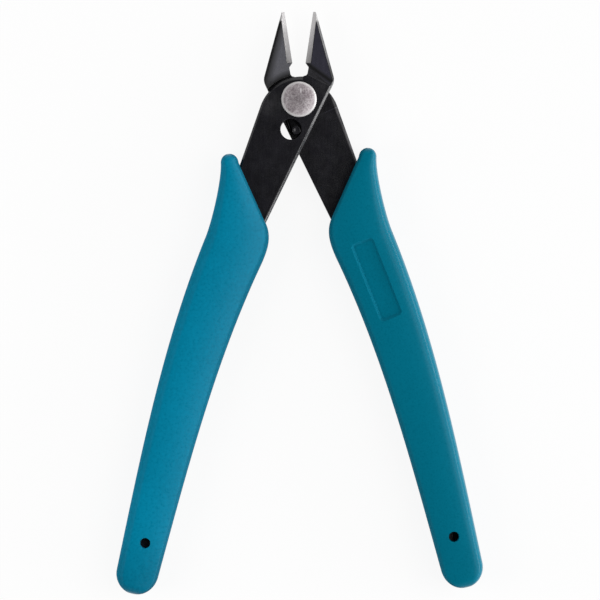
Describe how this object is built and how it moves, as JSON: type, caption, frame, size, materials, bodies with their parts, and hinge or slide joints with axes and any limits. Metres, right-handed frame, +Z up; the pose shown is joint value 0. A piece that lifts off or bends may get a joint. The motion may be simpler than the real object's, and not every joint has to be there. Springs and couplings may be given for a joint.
{
  "type": "flush cut pliers",
  "caption": "Flush cut pliers lying open: lapped black steel blades on a rivet, ground cutting jaws, a stop pin in a round hole, a hidden return spring and moulded teal grips.",
  "frame": {"origin": "middle of the resting tool's footprint, on the plane of the grips' flat undersides", "axes": "+X to the right and +Y from the handles toward the jaw tips as seen from the front, +Z up out of the front face"},
  "size_m": [0.077, 0.1223, 0.0094],
  "materials": {
    "black_oxide": "satin black oxide, bare ground bevels",
    "rivet_steel": "turned",
    "spring_steel": "drawn wire, blackened",
    "teal_grip": "satin moulded"
  },
  "bodies": {
    "front_half": {"front_blade": "black_oxide", "left_grip": "teal_grip", "pivot_rivet": "rivet_steel", "rivet_washer": "rivet_steel"},
    "rear_half": {"rear_blade": "black_oxide", "right_grip": "teal_grip", "stop_pin": "black_oxide", "return_spring": "spring_steel"}
  },
  "joints": [
    {"name": "pivot", "type": "hinge", "parent": "front_half", "child": "rear_half", "pos_m": [0, 0.04249, 0.0047], "axis": [0, 0, -1], "range_deg": [0, 18.2], "stiffness_Nm_per_rad": 0.6, "springref_deg": -20.05, "deforming": ["return_spring"]}
  ]
}
